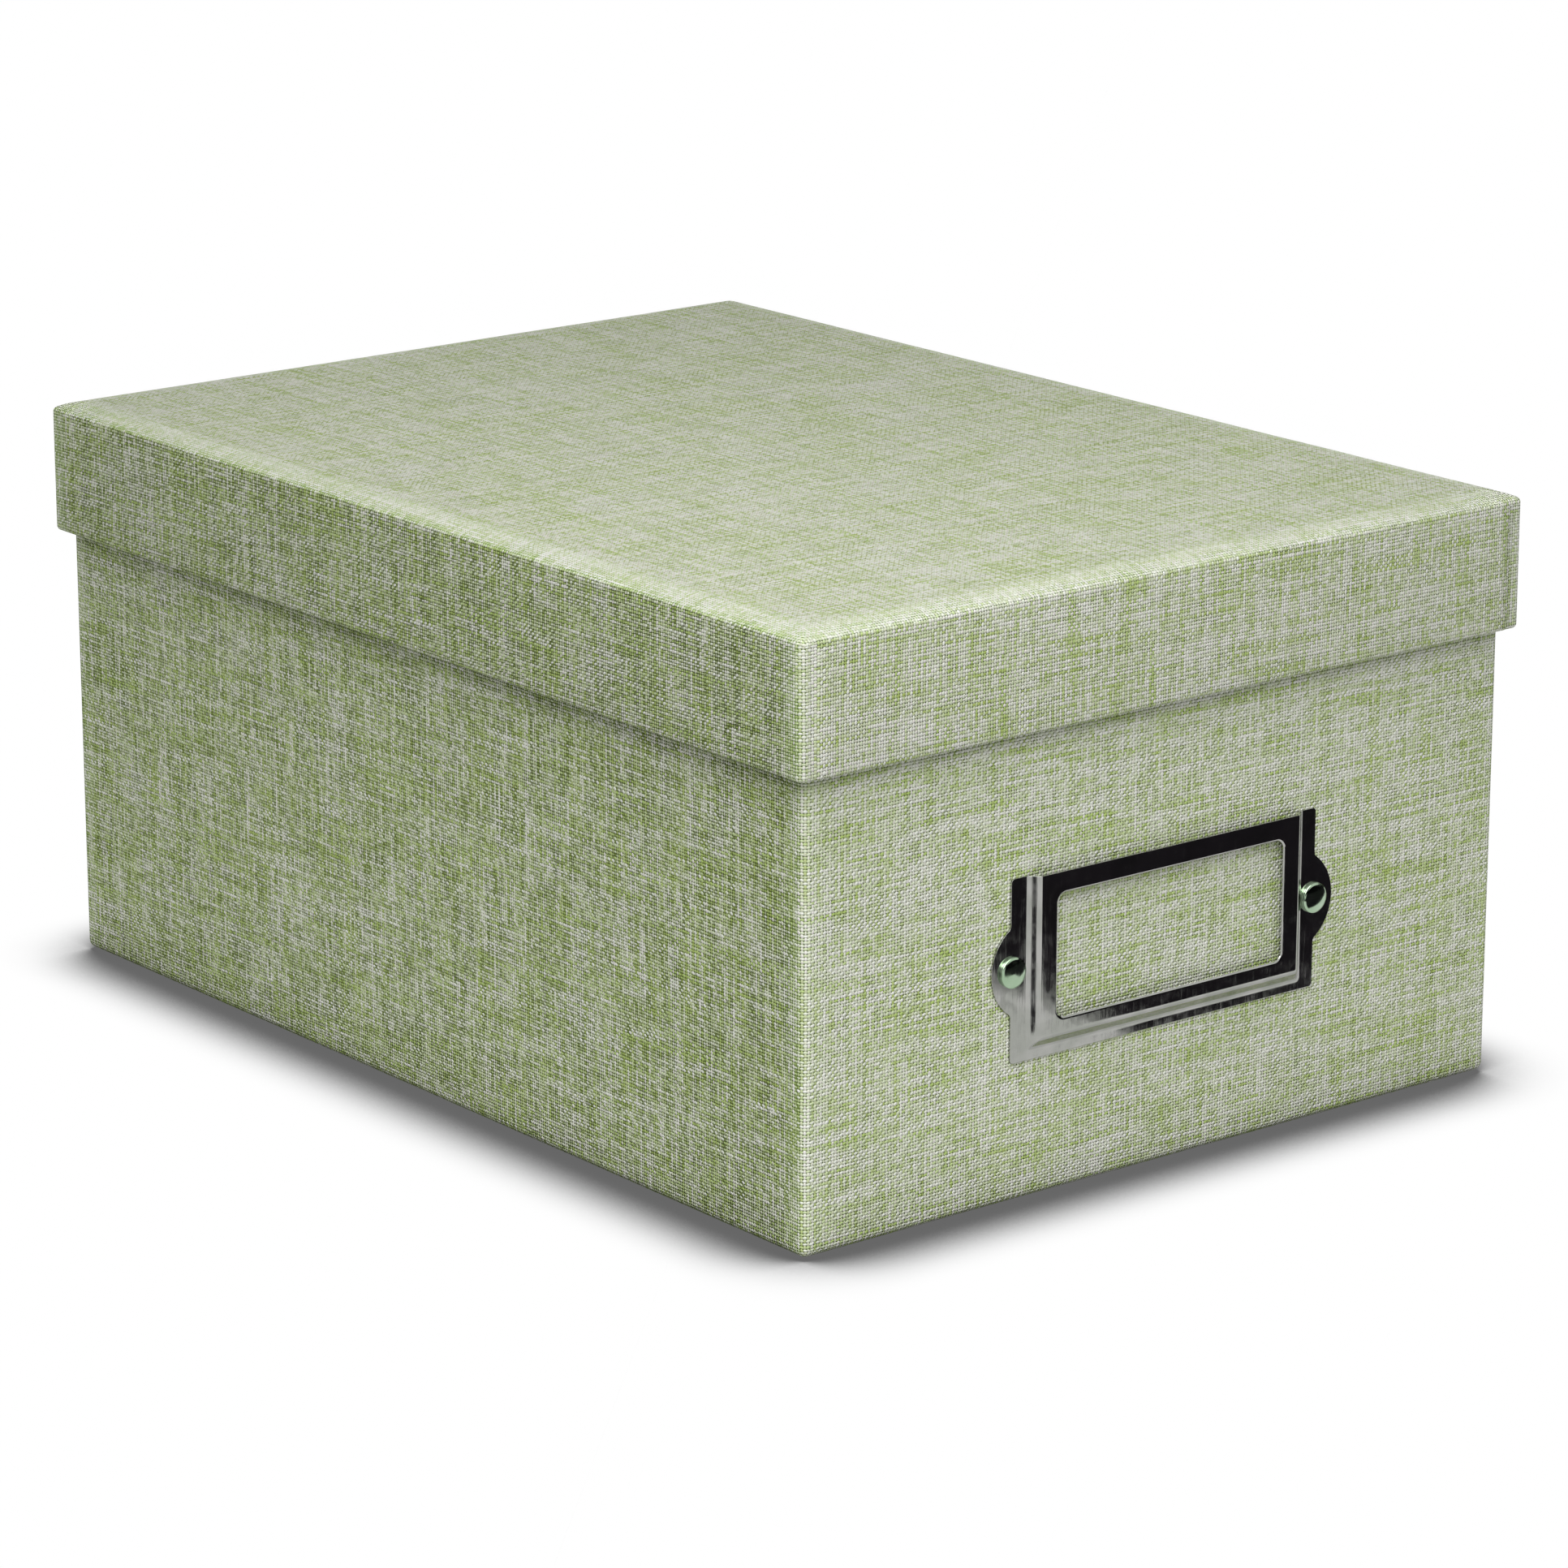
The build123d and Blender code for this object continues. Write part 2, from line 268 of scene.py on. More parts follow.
def makeWeave(name, look):
    finish = Finish(bpy.data.materials.new(name))
    seeds = weaveSeeds
    thread = finish.node("UVMap", {"uv_map": "threads"}, {})[0]
    u, v, spare = finish.node("SeparateXYZ", {}, {0: thread})
    # threads wander a little, and lie closer in some places than in others
    run, width = look["wanderRun"], look["wanderWidth"]
    wander = finish.noise(finish.vector(u / width, v / run, seeds["warpWander"]), 1.0, 1.0) - 0.5
    warpPlace = u / look["warpPitch"] + wander * look["wander"]
    wander = finish.noise(finish.vector(u / run, v / width, seeds["weftWander"]), 1.0, 1.0) - 0.5
    weftPlace = v / look["weftPitch"] + wander * look["wander"]
    warpIndex = warpPlace.floor()
    weftIndex = weftPlace.floor()
    warpSide = (warpPlace - warpIndex - 0.5) * 2.0
    weftSide = (weftPlace - weftIndex - 0.5) * 2.0
    pitches = (look["warpPitch"], look["weftPitch"])

    lean = finish.node("Attribute", {"attribute_name": "lean"}, {})[2]
    wall = lean.maths("ABSOLUTE").between(*look["wallLean"])
    sideWall = lean.between(*look["sideLean"])
    endWall = (-lean).between(*look["endLean"])
    proud = sideWall * look["sideProud"] + endWall

    weftSwell = threadSwell(finish, look, weftIndex, u, seeds["weftSwell"], look["weftSpread"])
    warpSwell = threadSwell(finish, look, warpIndex, v, seeds["warpSwell"], look["warpSpread"])
    weft = threadPearls(
        finish, look, look["weft"], warpPlace, weftSide, weftIndex, 0.0,
        proud, pitches, lean, weftSwell,
    )
    warp = threadPearls(
        finish, look, look["warp"], weftPlace, warpSide, warpIndex, 1.0,
        proud, pitches[::-1], lean, warpSwell,
    )
    height = weft[0].maths("MAXIMUM", warp[0])
    warpOnTop = (warp[0] - weft[0]).between(-look["crossing"], look["crossing"])
    weftOnTop = 1.0 - warpOnTop
    slopeU = warp[2] * warpOnTop + weft[1] * weftOnTop
    slopeV = warp[1] * warpOnTop + weft[2] * weftOnTop
    facing = finish.vector(0.5 - slopeU * 0.5, 0.5 - slopeV * 0.5, 1.0)  # as a normal map's colour

    warpShade = threadShade(finish, look, warpIndex, v, u, seeds["warpShade"])
    weftShade = threadShade(finish, look, weftIndex, u, v, seeds["weftShade"])
    # painted shade: threads on the side walls come out greener and darker
    paintedSideShade = sideWall * look["sidePaintedShade"]
    paleSpan = (paintedSideShade + look["paleFrom"], paintedSideShade + look["paleTo"])
    warpPaleness = (warpShade + warp[3] * look["knotShare"]).between(*paleSpan)
    weftPaleness = (weftShade + weft[3] * look["knotShare"]).between(*paleSpan)
    warpColour = finish.mix(warpPaleness, look["warpGreen"], look["warpPale"])
    weftColour = finish.mix(weftPaleness, look["weftGreen"], look["weftPale"])
    colour = finish.mix(warpOnTop, weftColour, warpColour)

    # painted shade in the holes between threads, reaching further up the pearls on the side walls
    gapSpan = []
    for onTop, onWall, onEnd, onSide in (look["gapLow"], look["gapHigh"]):
        onWalls = wall * (onWall - onTop) + onTop
        gapSpan.append(onWalls + endWall * (onEnd - onWall) + sideWall * (onSide - onWall))
    gapShadeMask = height.between(*gapSpan, 1.0, 0.0)
    # wear and painted highlight: paler cloth, and lighter holes, along the edges and on the crown
    wornAndHighlight = finish.node("Attribute", {"attribute_name": "wornAndHighlight"}, {})[2]
    colour = finish.mix(wornAndHighlight * look["wornAndHighlightShare"], colour, look["wornAndHighlightColour"])
    # the holes' green and painted shade, with painted shadow darker on the side walls
    gapColourAndShade = finish.mix(sideWall, look["gapColourAndShade"], look["sidePaintedGapShadow"])
    colour = finish.mix(gapShadeMask, colour, finish.mix(wornAndHighlight, gapColourAndShade, look["wornAndHighlightGap"]))
    fibres = finish.noise(finish.vector(u, v, seeds["fuzz"]), 1.0 / look["fuzz"], 1.0)
    fuzz = fibres.between(*look["fuzzSpan"], 0.0, look["fuzzShare"])
    colour = finish.mix(fuzz, colour, look["fuzzColour"], "SOFT_LIGHT")
    # painted light and shade: the attribute read here makes the cloth paler or darker
    paintedLight = finish.node("Attribute", {"attribute_name": "paintedLight"}, {})[2] + 1.0
    colour = finish.mix(1.0, colour, finish.vector(paintedLight, paintedLight, paintedLight), "MULTIPLY")
    return finish.surface({
        "Base Color": colour,
        "Roughness": weft[3] * look["roughChance"] + look["rough"],
        "Specular IOR Level": 0.12,
        "Sheen Weight": 0.06,
        "Sheen Roughness": 0.5,
        "Normal": finish.node("NormalMap", {"uv_map": "threads"}, {"Color": facing})[0],
    })


clothFinish = makeWeave("woven_cloth", weaveLook)


print("stage: paper, board and metal finishes")
paperLook = {
    "lining": {"colour": (0.78, 0.77, 0.71), "fleck": (0.66, 0.63, 0.54), "grain": 900.0, "rough": 0.78},
    "card": {"colour": (0.72, 0.71, 0.66), "fleck": (0.58, 0.55, 0.48), "grain": 700.0, "rough": 0.84},
    "kraft": {"colour": (0.62, 0.52, 0.38), "fleck": (0.46, 0.36, 0.24), "grain": 800.0, "rough": 0.72},
    "board": {"colour": (0.36, 0.33, 0.29), "fleck": (0.24, 0.22, 0.20), "grain": 500.0, "rough": 0.9},
}


# two layers of fibres lie across each other: how each is stretched and turned
fibreLayers = (((1.0, 0.16, 0.4), (0.3, 0.2, 0.5)), ((0.16, 1.0, 0.6), (0.1, 0.5, -0.4)))


def makePaper(name, look):
    finish = Finish(bpy.data.materials.new(name))
    place = finish.place()
    cloud = finish.noise(place, 18.0, 3.0)
    layers = [finish.noise(finish.stretch(place, *layer), look["grain"], 3.0, 0.6) for layer in fibreLayers]
    tooth = layers[0].maths("MAXIMUM", layers[1])
    flecks = finish.noise(place, look["grain"] * 1.6, 1.0).between(0.66, 0.74)
    paler = [min(1.0, part * 1.05) for part in look["colour"]]
    darker = [part * 0.93 for part in look["colour"]]
    colour = finish.mix(cloud.between(0.3, 0.7), darker, paler)
    colour = finish.mix(tooth.between(0.52, 0.72, 0.0, 0.28), colour, look["fleck"])
    colour = finish.mix(flecks * 0.5, colour, look["fleck"])
    return finish.surface({
        "Base Color": colour,
        "Roughness": cloud.between(0.2, 0.8, look["rough"] - 0.05, look["rough"] + 0.07),
        "Specular IOR Level": 0.3,
        "Normal": finish.bump(tooth, 0.35, 0.06 * millimetre),
    })


liningFinish = makePaper("lining_paper", paperLook["lining"])
cardFinish = makePaper("underside_card", paperLook["card"])
kraftFinish = makePaper("corner_paper", paperLook["kraft"])
boardFinish = makePaper("grey_board", paperLook["board"])

metalLook = {
    "plate": {
        "colour": (0.42, 0.42, 0.40),
        "tint": (0.34, 0.35, 0.32),
        "rough": 0.10,
        "dent": 0.016 * millimetre,  # soft waves that pressing leaves
    },
    "rivet": {
        # painted reflection: the rivet's colour and tint are green for the cloth that it mirrors
        "colour": (0.43, 0.53, 0.41),
        "tint": (0.33, 0.46, 0.31),
        "rough": 0.12,
        "dent": 0.055 * millimetre,
    },
}


def makeMetal(name, look):
    finish = Finish(bpy.data.materials.new(name))
    place = finish.place()
    cloud = finish.noise(place, 130.0, 2.0)
    # rub marks: long fine lines a few degrees off upright, and shorter ones lying over
    upright = finish.noise(finish.stretch(place, (1.0, 1.0, 0.035), (0.0, 0.06, 0.0)), 4200.0, 2.0)
    leaning = finish.noise(finish.stretch(place, (1.0, 1.0, 0.05), (0.0, 0.9, 0.0)), 3600.0, 2.0)
    rubbed = upright.maths("MAXIMUM", leaning)
    scratch = upright.between(0.70, 0.78)
    smear = finish.noise(place, 420.0, 3.0)
    colour = finish.mix(cloud.between(0.35, 0.65), look["colour"], look["tint"])
    colour = finish.mix(scratch * 0.25, colour, (0.64, 0.64, 0.61))
    polish = smear.between(0.4, 0.7, look["rough"] - 0.03, look["rough"] + 0.06)
    dented = finish.bump(finish.noise(place, 240.0, 1.0), 1.0, look["dent"])
    return finish.surface({
        "Base Color": colour,
        "Metallic": 1.0,
        "Roughness": rubbed.between(0.5, 0.8, 0.0, 0.12) + polish,
        "Normal": finish.bump(rubbed, 0.25, 0.004 * millimetre, dented),
    })


plateFinish = makeMetal("nickel_plate", metalLook["plate"])
rivetFinish = makeMetal("nickel_rivet", metalLook["rivet"])

slotFinish = {
    "cover_cloth": clothFinish,
    "grey_board": boardFinish,
    "corner_paper": kraftFinish,
    "lining_paper": liningFinish,
    "underside_card": cardFinish,
    "nickel_plate": plateFinish,
    "nickel_rivet": rivetFinish,
}
for part in frame["record"]["subparts"]:
    for slot in nodes[part["node"]].material_slots:
        slot.material = slotFinish[part["material_slot"]]


def keep(name, mesh, finish):
    # puts a finished mesh in the scene, with its one material
    made = bpy.data.objects.new(name, mesh)
    scene.collection.objects.link(made)
    mesh.materials.clear()
    mesh.materials.append(finish)
    mesh.shade_smooth()
    return made


print("stage: cloth")
# walls in turn from the front, anticlockwise: the way each runs, and the way it faces
wallRun = (Vector((1, 0, 0)), Vector((0, 1, 0)), Vector((-1, 0, 0)), Vector((0, -1, 0)))
wallFace = (Vector((0, -1, 0)), Vector((1, 0, 0)), Vector((0, 1, 0)), Vector((-1, 0, 0)))


def arc(centreOut, centreUp, radius, start, stop, steps):
    # points of an arc, with angles in degrees from outward, the first number's minus side, to up
    turns = np.radians(np.linspace(start, stop, steps + 1))
    return [(centreOut - radius * math.cos(turn), centreUp + radius * math.sin(turn)) for turn in turns]


def wallColumns(look):
    # upright columns all round: (wall, place along it, share of the corner after it, distance round)
    columns = []
    travelled = 0.0
    for wall in range(4):
        reach = look["half"][wall] - look["corner"]
        count = round(2 * reach / look["step"])
        places = set(round(place, 4) for place in np.linspace(-reach, reach, count + 1))
        for cut in look["cuts"].get(wall, ()):
            # a column too near a cut makes way for it
            apart = look["step"] * 0.3
            places = set(place for place in places if abs(place - cut) > apart or abs(place) == reach)
        places.update(look["cuts"].get(wall, ()))
        for place in sorted(places):
            columns.append((wall, place, 0.0, travelled + place + reach))
        travelled += 2 * reach
        for step in range(1, look["cornerSteps"]):
            share = step / look["cornerSteps"]
            columns.append((wall, reach, share, travelled + share * look["corner"] * math.pi / 2))
        travelled += look["corner"] * math.pi / 2
    return columns, travelled


def columnPoint(look, column, inset, radius):
    # where a column meets the loop that lies so far inside the outer face
    wall, place, share, distance = column
    along = look["half"][wall] - inset - radius
    out = look["half"][(wall + 1) % 4] - inset
    if share == 0.0:
        place = place * along / (look["half"][wall] - look["corner"])
        return wallRun[wall] * place + wallFace[wall] * out
    turn = share * math.pi / 2
    centre = wallRun[wall] * along + wallFace[wall] * (out - radius)
    return centre + wallFace[wall] * (radius * math.cos(turn)) + wallRun[wall] * (radius * math.sin(turn))


def wallMiddle(look, wall):
    # how far round the box the middle of a wall lies
    passed = sum(2 * (half - look["corner"]) + look["corner"] * math.pi / 2 for half in look["half"][:wall])
    return passed + look["half"][wall] - look["corner"]


def cellWall(columns, left):
    # the wall that a cell's cloth belongs to: a corner's cells are shared out, half to each wall
    wall, place, share, distance = columns[left]
    nextShare = columns[(left + 1) % len(columns)][2]
    if (share or nextShare) and not 0.0 < nextShare <= 0.5:
        return (wall + 1) % 4
    return wall


def wearAndHighlight(look, column, row):
    # cloth pulled hard over an edge goes paler there from wear; the paler edges and crown are also a
    # painted highlight
    fromCorner = look["half"][column[0]] - look["corner"] - abs(column[1])
    wornAndHighlight = look["wornAndHighlightCorner"] * max(0.0, 1.0 - fromCorner / look["wornAndHighlightReach"])
    if "wornAndHighlightInsets" in look:
        wornAndHighlight = max(wornAndHighlight, ramp(row[0], *look["wornAndHighlightInsets"]) * ramp(row[1], *look["wornAndHighlightHeights"]))
    return wornAndHighlight


leanHeights = (129.6, 128.1)  # the pearls' lean fades out between these, up on to the lid's top
paintedLightHeights = (127.0, 0.0)  # painted light and shade on the cloth change evenly from the rim to the foot


def wrapCloth(look, profile, lift, threads):
    # profile: rows of (inset, height, corner radius); lift and threads are called for each point
    columns, around = wallColumns(look)
    rows = []
    travelled = 0.0
    for number, (inset, height, radius) in enumerate(profile):
        if number:
            travelled += math.dist(profile[number - 1][:2], (inset, height))
        rows.append((inset, height, radius, travelled))
    cloth = bmesh.new()
    threadLayer = cloth.loops.layers.uv.new("threads")
    leanLayer = cloth.verts.layers.float.new("lean")
    wornAndHighlightLayer = cloth.verts.layers.float.new("wornAndHighlight")
    paintedLightLayer = cloth.verts.layers.float.new("paintedLight")
    grid = []
    for row in rows:
        line = []
        for column in columns:
            point = columnPoint(look, column, row[0], row[2])
            point.z = row[1]
            made = cloth.verts.new(lift(point, column, row) * millimetre)
            # the yarn's twist tips the pearls one way on the ends and the other way on the sides
            wall = column[0] % 2
            tipped = look["lean"][wall] * (1.0 - column[2]) + look["lean"][1 - wall] * column[2]
            made[leanLayer] = tipped * ramp(row[1], *leanHeights)
            made[wornAndHighlightLayer] = wearAndHighlight(look, column, row)
            # painted light and shade, changing from the rim to the foot
            low = ramp(row[1], *paintedLightHeights)
            made[paintedLightLayer] = look["paintedLight"][wall] * (1.0 - low) + look["paintedLightLow"][wall] * low
            line.append(made)
        grid.append(line)
    count = len(columns)
    for upper in range(len(rows) - 1):
        for left in range(count):
            right = (left + 1) % count
            corners = [(upper, left), (upper + 1, left), (upper + 1, right), (upper, right)]
            face = cloth.faces.new([grid[r][c] for r, c in corners])
            for loop, (r, c) in zip(face.loops, corners):
                uv = threads(columns, rows, (upper, left), (r, c), around)
                loop[threadLayer].uv = (uv[0] * millimetre, uv[1] * millimetre)
    return cloth, threadLayer, grid, columns


noise.seed_set(5)  # so that the cloth ripples alike at every run


def ripple(look, point):
    # cloth glued over board is never quite flat
    return noise.noise_vector((point + Vector(look["rippleFrom"])) / look["rippleSize"]) * look["ripple"]


def finishCloth(name, cloth, thickness):
    bmesh.ops.remove_doubles(cloth, verts=cloth.verts, dist=1e-7)
    mesh = bpy.data.meshes.new(name)
    cloth.to_mesh(mesh)
    cloth.free()
    made = keep(name, mesh, clothFinish)
    body = made.modifiers.new("thickness", "SOLIDIFY")
    body.thickness = thickness
    body.offset = -1.0
    body.use_even_offset = False
    return made


lidLow, lidHigh = nodeBox("lid_cover_cloth")
lidLook = {
    "half": (lidHigh[0], lidHigh[1]) * 2,  # half lengths of the four walls
    "top": lidHigh[2],
    "bottom": lidLow[2],
    "corner": 2.0,
    "cornerSteps": 6,
    "tightCorner": 0.35,  # least radius of a corner, on the inside
    "step": 5.0,  # between the upright lines of the mesh
    "crownRun": 7.0,  # the padded top falls off over this, by this much
    "crownDrop": 1.75,
    "crownFoot": 127.5,  # the upright face starts below this
    "edge": 1.2,  # round under the crown
    "hem": 1.0,  # round of the lower edge, outside
    "fold": 0.8,  # and inside
    "outerTo": 1.3,  # inset at which the turned-in cloth starts
    "wall": 2.6,  # cloth, board and cloth again
    "innerTop": 127.2,
    "seam": 94.4,  # where the end flaps' cut edges lie over the long flaps
    "seamStep": 0.2,
    "seamRun": 0.22,
    "seamIn": 1.5,
    "seamHeights": (128.4, 127.0),  # the step starts and is full at these
    "ripple": 0.05,
    "rippleSize": 26.0,
    "rippleFrom": (0.0, 0.0, 0.0),
    "hemWave": 0.04,  # the lower edge rises and falls a little
    "hemWaveRun": 31.0,
    "hemWaveTop": 112.0,
    "hemWaveSeed": 4.0,
    "lean": (-0.15, 0.36),  # how far the pearls lean on the ends, and on the sides
    # wear and painted highlight along the corners, fading within the reach, and on the crown
    "wornAndHighlightCorner": 0.8,
    "wornAndHighlightReach": 2.0,
    "wornAndHighlightInsets": (7.6, 5.2),  # wear and painted highlight on the crown start and are full at these
    "wornAndHighlightHeights": (127.9, 128.4),
    "paintedLight": (0.0, 0.0),  # painted light and shade: how much paler the cloth is painted at the rim, on the ends and on the sides
    "paintedLightLow": (-0.36, -0.36),  # and at the foot
}
seamEnd = lidLook["seam"] - lidLook["seamRun"]
seamCuts = (-lidLook["seam"], -seamEnd, seamEnd, lidLook["seam"])
lidLook["cuts"] = {0: seamCuts, 2: seamCuts}


def lidProfile(look):
    slope = 2 * math.atan(look["crownDrop"] / look["crownRun"])
    crown = look["crownRun"] / math.sin(slope)
    crownCentre = look["top"] - crown
    edgeCentre = crownCentre
    edgeCentre += math.sqrt((crown - look["edge"]) ** 2 - (look["crownRun"] - look["edge"]) ** 2)
    join = math.degrees(math.atan2(edgeCentre - crownCentre, look["crownRun"] - look["edge"]))
    points = arc(look["crownRun"], crownCentre, crown, 90.0, join, 7)
    points += arc(look["edge"], edgeCentre, look["edge"], join, 0.0, 6)[1:]
    hemTop = look["bottom"] + look["hem"]
    points += [(0.0, height) for height in np.linspace(points[-1][1], hemTop, 8)[1:]]
    points += arc(look["hem"], hemTop, look["hem"], 0.0, -90.0, 6)[1:]
    inner = arc(look["wall"] - look["fold"], look["bottom"] + look["fold"], -look["fold"], 90.0, 0.0, 5)
    points += inner
    points += [(look["wall"], height) for height in np.linspace(inner[-1][1], look["innerTop"], 6)[1:]]
    rows = []
    for inset, height in points:
        radius = max(look["corner"] - inset, look["tightCorner"])
        if height > look["crownFoot"]:
            radius = look["corner"] * (1 - inset / look["crownRun"])
        rows.append((inset, height, radius))
    return rows


lidRows = lidProfile(lidLook)
lidCrownRows = sum(1 for row in lidRows if row[1] > lidLook["crownFoot"]) - 1  # above the upright face
lidOuterRows = next(n for n, row in enumerate(lidRows) if n > lidCrownRows and row[0] > lidLook["outerTo"])


def liftLid(point, column, row):
    look = lidLook
    wall, place, share, distance = column
    inset, height, radius, travelled = row
    point = point + ripple(look, point)
    wave = noise.noise(Vector((distance / look["hemWaveRun"], look["hemWaveSeed"], 0.0)))
    point.z += wave * look["hemWave"] * ramp(height, look["hemWaveTop"], look["bottom"]) ** 2
    # the long flaps' ends go under the end flaps, so they lie a little deeper
    under = share
    if wall in (0, 2):
        under = 1.0 - share if share else ramp(abs(place), seamEnd, look["seam"])
    if inset < look["seamIn"]:
        point -= wallFace[wall] * (look["seamStep"] * under * ramp(height, *look["seamHeights"]))
    return point


def lidThreads(columns, rows, cell, corner, around):
    # the cloth's flat cut is a cross, so a flap's threads carry on from the top
    look = lidLook
    upper, left = cell
    r, c = corner
    wall, place, share, distance = columns[left]
    inset, height, radius, travelled = rows[r]
    if lidCrownRows <= upper < lidOuterRows:
        # on the upright face the long flaps' ends turn the corners and show as far as the seams
        owner = wall
        if wall in (0, 2) and (share or place >= look["seam"]):
            owner = (wall + 1) % 4
        elif wall in (0, 2) and place < -look["seam"]:
            owner = (wall + 3) % 4
        along = (columns[c][3] - wallMiddle(look, owner) + around / 2) % around - around / 2
    else:
        owner = cellWall(columns, left)
        along = columnPoint(look, columns[c], inset, radius).dot(wallRun[owner])
    flat = look["half"][(owner + 1) % 4] - look["crownRun"] + travelled
    uv = wallRun[owner] * along + wallFace[owner] * flat
    return uv.x, uv.y


lidCloth, lidLayer, lidGrid, lidColumns = wrapCloth(lidLook, lidRows, liftLid, lidThreads)


def closeTop(cloth, layer, grid, columns):
    # the flat of the lid: a grid between the first row's columns
    flats = [(n, column[0]) for n, column in enumerate(columns) if column[2] == 0.0]
    front, right, back, left = [[n for n, owner in flats if owner == wall] for wall in range(4)]
    back = back[::-1]
    left = left[::-1]
    top = []
    for row, (west, east) in enumerate(zip(left, right)):
        line = []
        for place, (south, north) in enumerate(zip(front, back)):
            if row == 0:
                line.append(grid[0][south])
            elif row == len(right) - 1:
                line.append(grid[0][north])
            elif place == 0:
                line.append(grid[0][west])
            elif place == len(front) - 1:
                line.append(grid[0][east])
            else:
                x = grid[0][south].co.x / millimetre
                y = grid[0][east].co.y / millimetre
                point = Vector((x, y, lidLook["top"]))
                line.append(cloth.verts.new((point + ripple(lidLook, point)) * millimetre))
        top.append(line)
    for row in range(len(right) - 1):
        for place in range(len(front) - 1):
            corners = [top[row][place], top[row][place + 1], top[row + 1][place + 1], top[row + 1][place]]
            if len(set(corners)) < 4:
                continue
            face = cloth.faces.new(corners)
            for loop in face.loops:
                loop[layer].uv = (loop.vert.co.x, loop.vert.co.y)


closeTop(lidCloth, lidLayer, lidGrid, lidColumns)
# this cloth is cut the other way of the roll from the base's, so its threads change places
for face in lidCloth.faces:
    for loop in face.loops:
        loop[lidLayer].uv = loop[lidLayer].uv.yx
lidPiece = finishCloth("lid_cloth", lidCloth, 0.4 * millimetre)
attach(lidPiece, "lid")
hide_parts("lid_cover_cloth")

baseLow, baseHigh = nodeBox("base_cover_cloth")
baseLook = {
    "half": (baseHigh[0], baseHigh[1]) * 2,
    "top": baseHigh[2],
    "bottom": baseLow[2],
    "corner": 2.0,
    "cornerSteps": 6,
    "tightCorner": 0.35,
    "step": 5.0,
    "wall": 2.8,
    "rimInner": 0.7,  # rounds of the rim
    "rimOuter": 0.9,
    "turnIn": 107.0,  # the cloth comes down the inside to here
    "under": 16.0,  # and in under the floor by this
    "foot": 1.9,
    "faceIn": 0.5,  # what belongs to the walls' outer faces
    "faceHeights": (1.0, 126.5),
    "lap": 81.0,  # the belt's two ends lap on the back wall
    "lapRun": 0.22,
    "lapStep": 0.2,
    "lapShift": 3.1,  # the ends' threads don't meet
    "ridge": 81.2,  # the corner strips' edges show faintly through the cloth
    "ridgeStep": 0.07,
    "ridgeEdge": 0.6,
    "ridgeFade": 9.0,
    "ripple": 0.045,
    "rippleSize": 26.0,
    "rippleFrom": (0.0, 0.0, 300.0),
    "lean": (-0.30, 0.36),
    # wear and painted highlight along the corners
    "wornAndHighlightCorner": 0.4,
    "wornAndHighlightReach": 2.0,
    # painted light and shade: the ends a little darker at the rim, and the walls paler towards the foot
    "paintedLight": (-0.03, 0.0),
    "paintedLightLow": (0.09, 0.17),
}
ridgeCuts = tuple(side * (baseLook["ridge"] + step) for side in (-1, 1) for step in (-0.5, 0.0, 0.5))
baseLook["cuts"] = {0: ridgeCuts, 2: (baseLook["lap"] - baseLook["lapRun"], baseLook["lap"])}


def baseProfile(look):
    inner = look["rimInner"]
    outer = look["rimOuter"]
    points = [(look["wall"], height) for height in np.linspace(look["turnIn"], look["top"] - inner, 6)]
    points += arc(look["wall"] - inner, look["top"] - inner, -inner, 0.0, -90.0, 5)[1:]
    points += arc(outer, look["top"] - outer, outer, 90.0, 0.0, 5)
    footTop = look["bottom"] + look["foot"]
    points += [(0.0, height) for height in np.linspace(look["top"] - outer, footTop, 26)[1:]]
    points += arc(look["foot"], footTop, look["foot"], 0.0, -90.0, 7)[1:]
    points += [(inset, look["bottom"]) for inset in np.linspace(look["foot"], look["under"], 5)[1:]]
    return [(inset, height, max(look["corner"] - inset, look["tightCorner"])) for inset, height in points]


baseRows = baseProfile(baseLook)
baseOuter = [n for n, row in enumerate(baseRows) if row[0] == 0.0]


def liftBase(point, column, row):
    look = baseLook
    wall, place, share, distance = column
    inset, height, radius, travelled = row
    point = point + ripple(look, point)
    lowest, highest = look["faceHeights"]
    if share or inset >= look["faceIn"] or not lowest < height < highest:
        return point
    if wall == 2 and place > 0:
        lapped = ramp(place, look["lap"] - look["lapRun"], look["lap"])
        point -= wallFace[wall] * (look["lapStep"] * lapped)
    if wall == 0:
        over = abs(place) - look["ridge"]
        run = look["ridgeFade"] if over >= 0 else look["ridgeEdge"]
        point += wallFace[wall] * (look["ridgeStep"] * max(0.0, 1.0 - abs(over) / run))
    return point


def baseThreads(columns, rows, cell, corner, around):
    # the cloth is a belt round the walls: level threads run round it, upright ones fold over the rim
    look = baseLook
    upper, left = cell
    r, c = corner
    wall, place, share, distance = columns[left]
    inset, height, radius, travelled = rows[r]
    pastLap = wall == 2 and place >= look["lap"]
    back = around - look["lapShift"]
    if baseOuter[0] <= upper < baseOuter[-1]:
        total = columns[c][3] + (around if c < left else 0.0)
        if pastLap or wall == 3:
            total -= back
        return total, -travelled
    owner = cellWall(columns, left)
    middle = wallMiddle(look, owner)
    if pastLap or owner == 3:
        middle -= back
    return middle + columnPoint(look, columns[c], inset, radius).dot(wallRun[owner]), -travelled


baseCloth = wrapCloth(baseLook, baseRows, liftBase, baseThreads)[0]
basePiece = finishCloth("base_cloth", baseCloth, 0.4 * millimetre)
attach(basePiece, "base")
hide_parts("base_cover_cloth")

